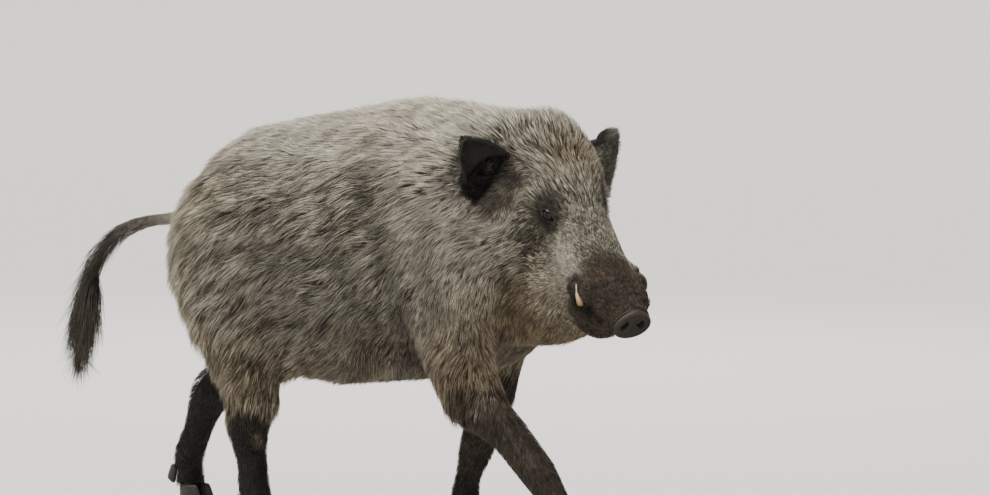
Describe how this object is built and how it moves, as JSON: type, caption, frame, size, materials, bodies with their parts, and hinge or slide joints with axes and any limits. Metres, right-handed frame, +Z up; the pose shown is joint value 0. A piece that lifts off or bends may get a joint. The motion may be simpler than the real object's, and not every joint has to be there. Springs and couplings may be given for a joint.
{
  "type": "wild boar",
  "caption": "Wild boar, a big male in a grizzled grey-brown coat, walking with its lowered head turned a little to its right; a still model at life size.",
  "frame": {"origin": "centre of the bounding box, on the floor under the hooves", "axes": "+X the way the boar walks, +Y to its left, +Z up"},
  "size_m": [1.593, 0.4524, 0.931],
  "materials": {
    "coat": "coarse dry hair, grizzled",
    "dark_coat": "short coarse hair",
    "bare_skin": "bare moist skin",
    "hoof_horn": "worn horn",
    "tusk_ivory": "stained ivory",
    "eye": "wet and glossy"
  },
  "bodies": {
    "root": {"dewclaw_fore_left_inner": "hoof_horn", "dewclaw_fore_left_outer": "hoof_horn", "dewclaw_fore_right_inner": "hoof_horn", "dewclaw_fore_right_outer": "hoof_horn", "dewclaw_hind_left_inner": "hoof_horn", "dewclaw_hind_left_outer": "hoof_horn", "dewclaw_hind_right_inner": "hoof_horn", "dewclaw_hind_right_outer": "hoof_horn", "ear_left": "coat", "ear_right": "coat", "eye_left": "eye", "eye_right": "eye", "foreleg_left_foot": "dark_coat", "foreleg_left_lower": "dark_coat", "foreleg_left_upper": "dark_coat", "foreleg_right_foot": "dark_coat", "foreleg_right_lower": "dark_coat", "foreleg_right_upper": "dark_coat", "head": "coat", "hindleg_left_foot": "dark_coat", "hindleg_left_lower": "dark_coat", "hindleg_left_upper": "dark_coat", "hindleg_right_foot": "dark_coat", "hindleg_right_lower": "dark_coat", "hindleg_right_upper": "dark_coat", "hoof_fore_left_inner": "hoof_horn", "hoof_fore_left_outer": "hoof_horn", "hoof_fore_right_inner": "hoof_horn", "hoof_fore_right_outer": "hoof_horn", "hoof_hind_left_inner": "hoof_horn", "hoof_hind_left_outer": "hoof_horn", "hoof_hind_right_inner": "hoof_horn", "hoof_hind_right_outer": "hoof_horn", "lower_jaw": "coat", "neck": "coat", "snout_disc": "bare_skin", "tail_base": "dark_coat", "tail_brush": "dark_coat", "trunk": "coat", "tusk_left": "tusk_ivory", "tusk_right": "tusk_ivory"}
  },
  "joints": []
}
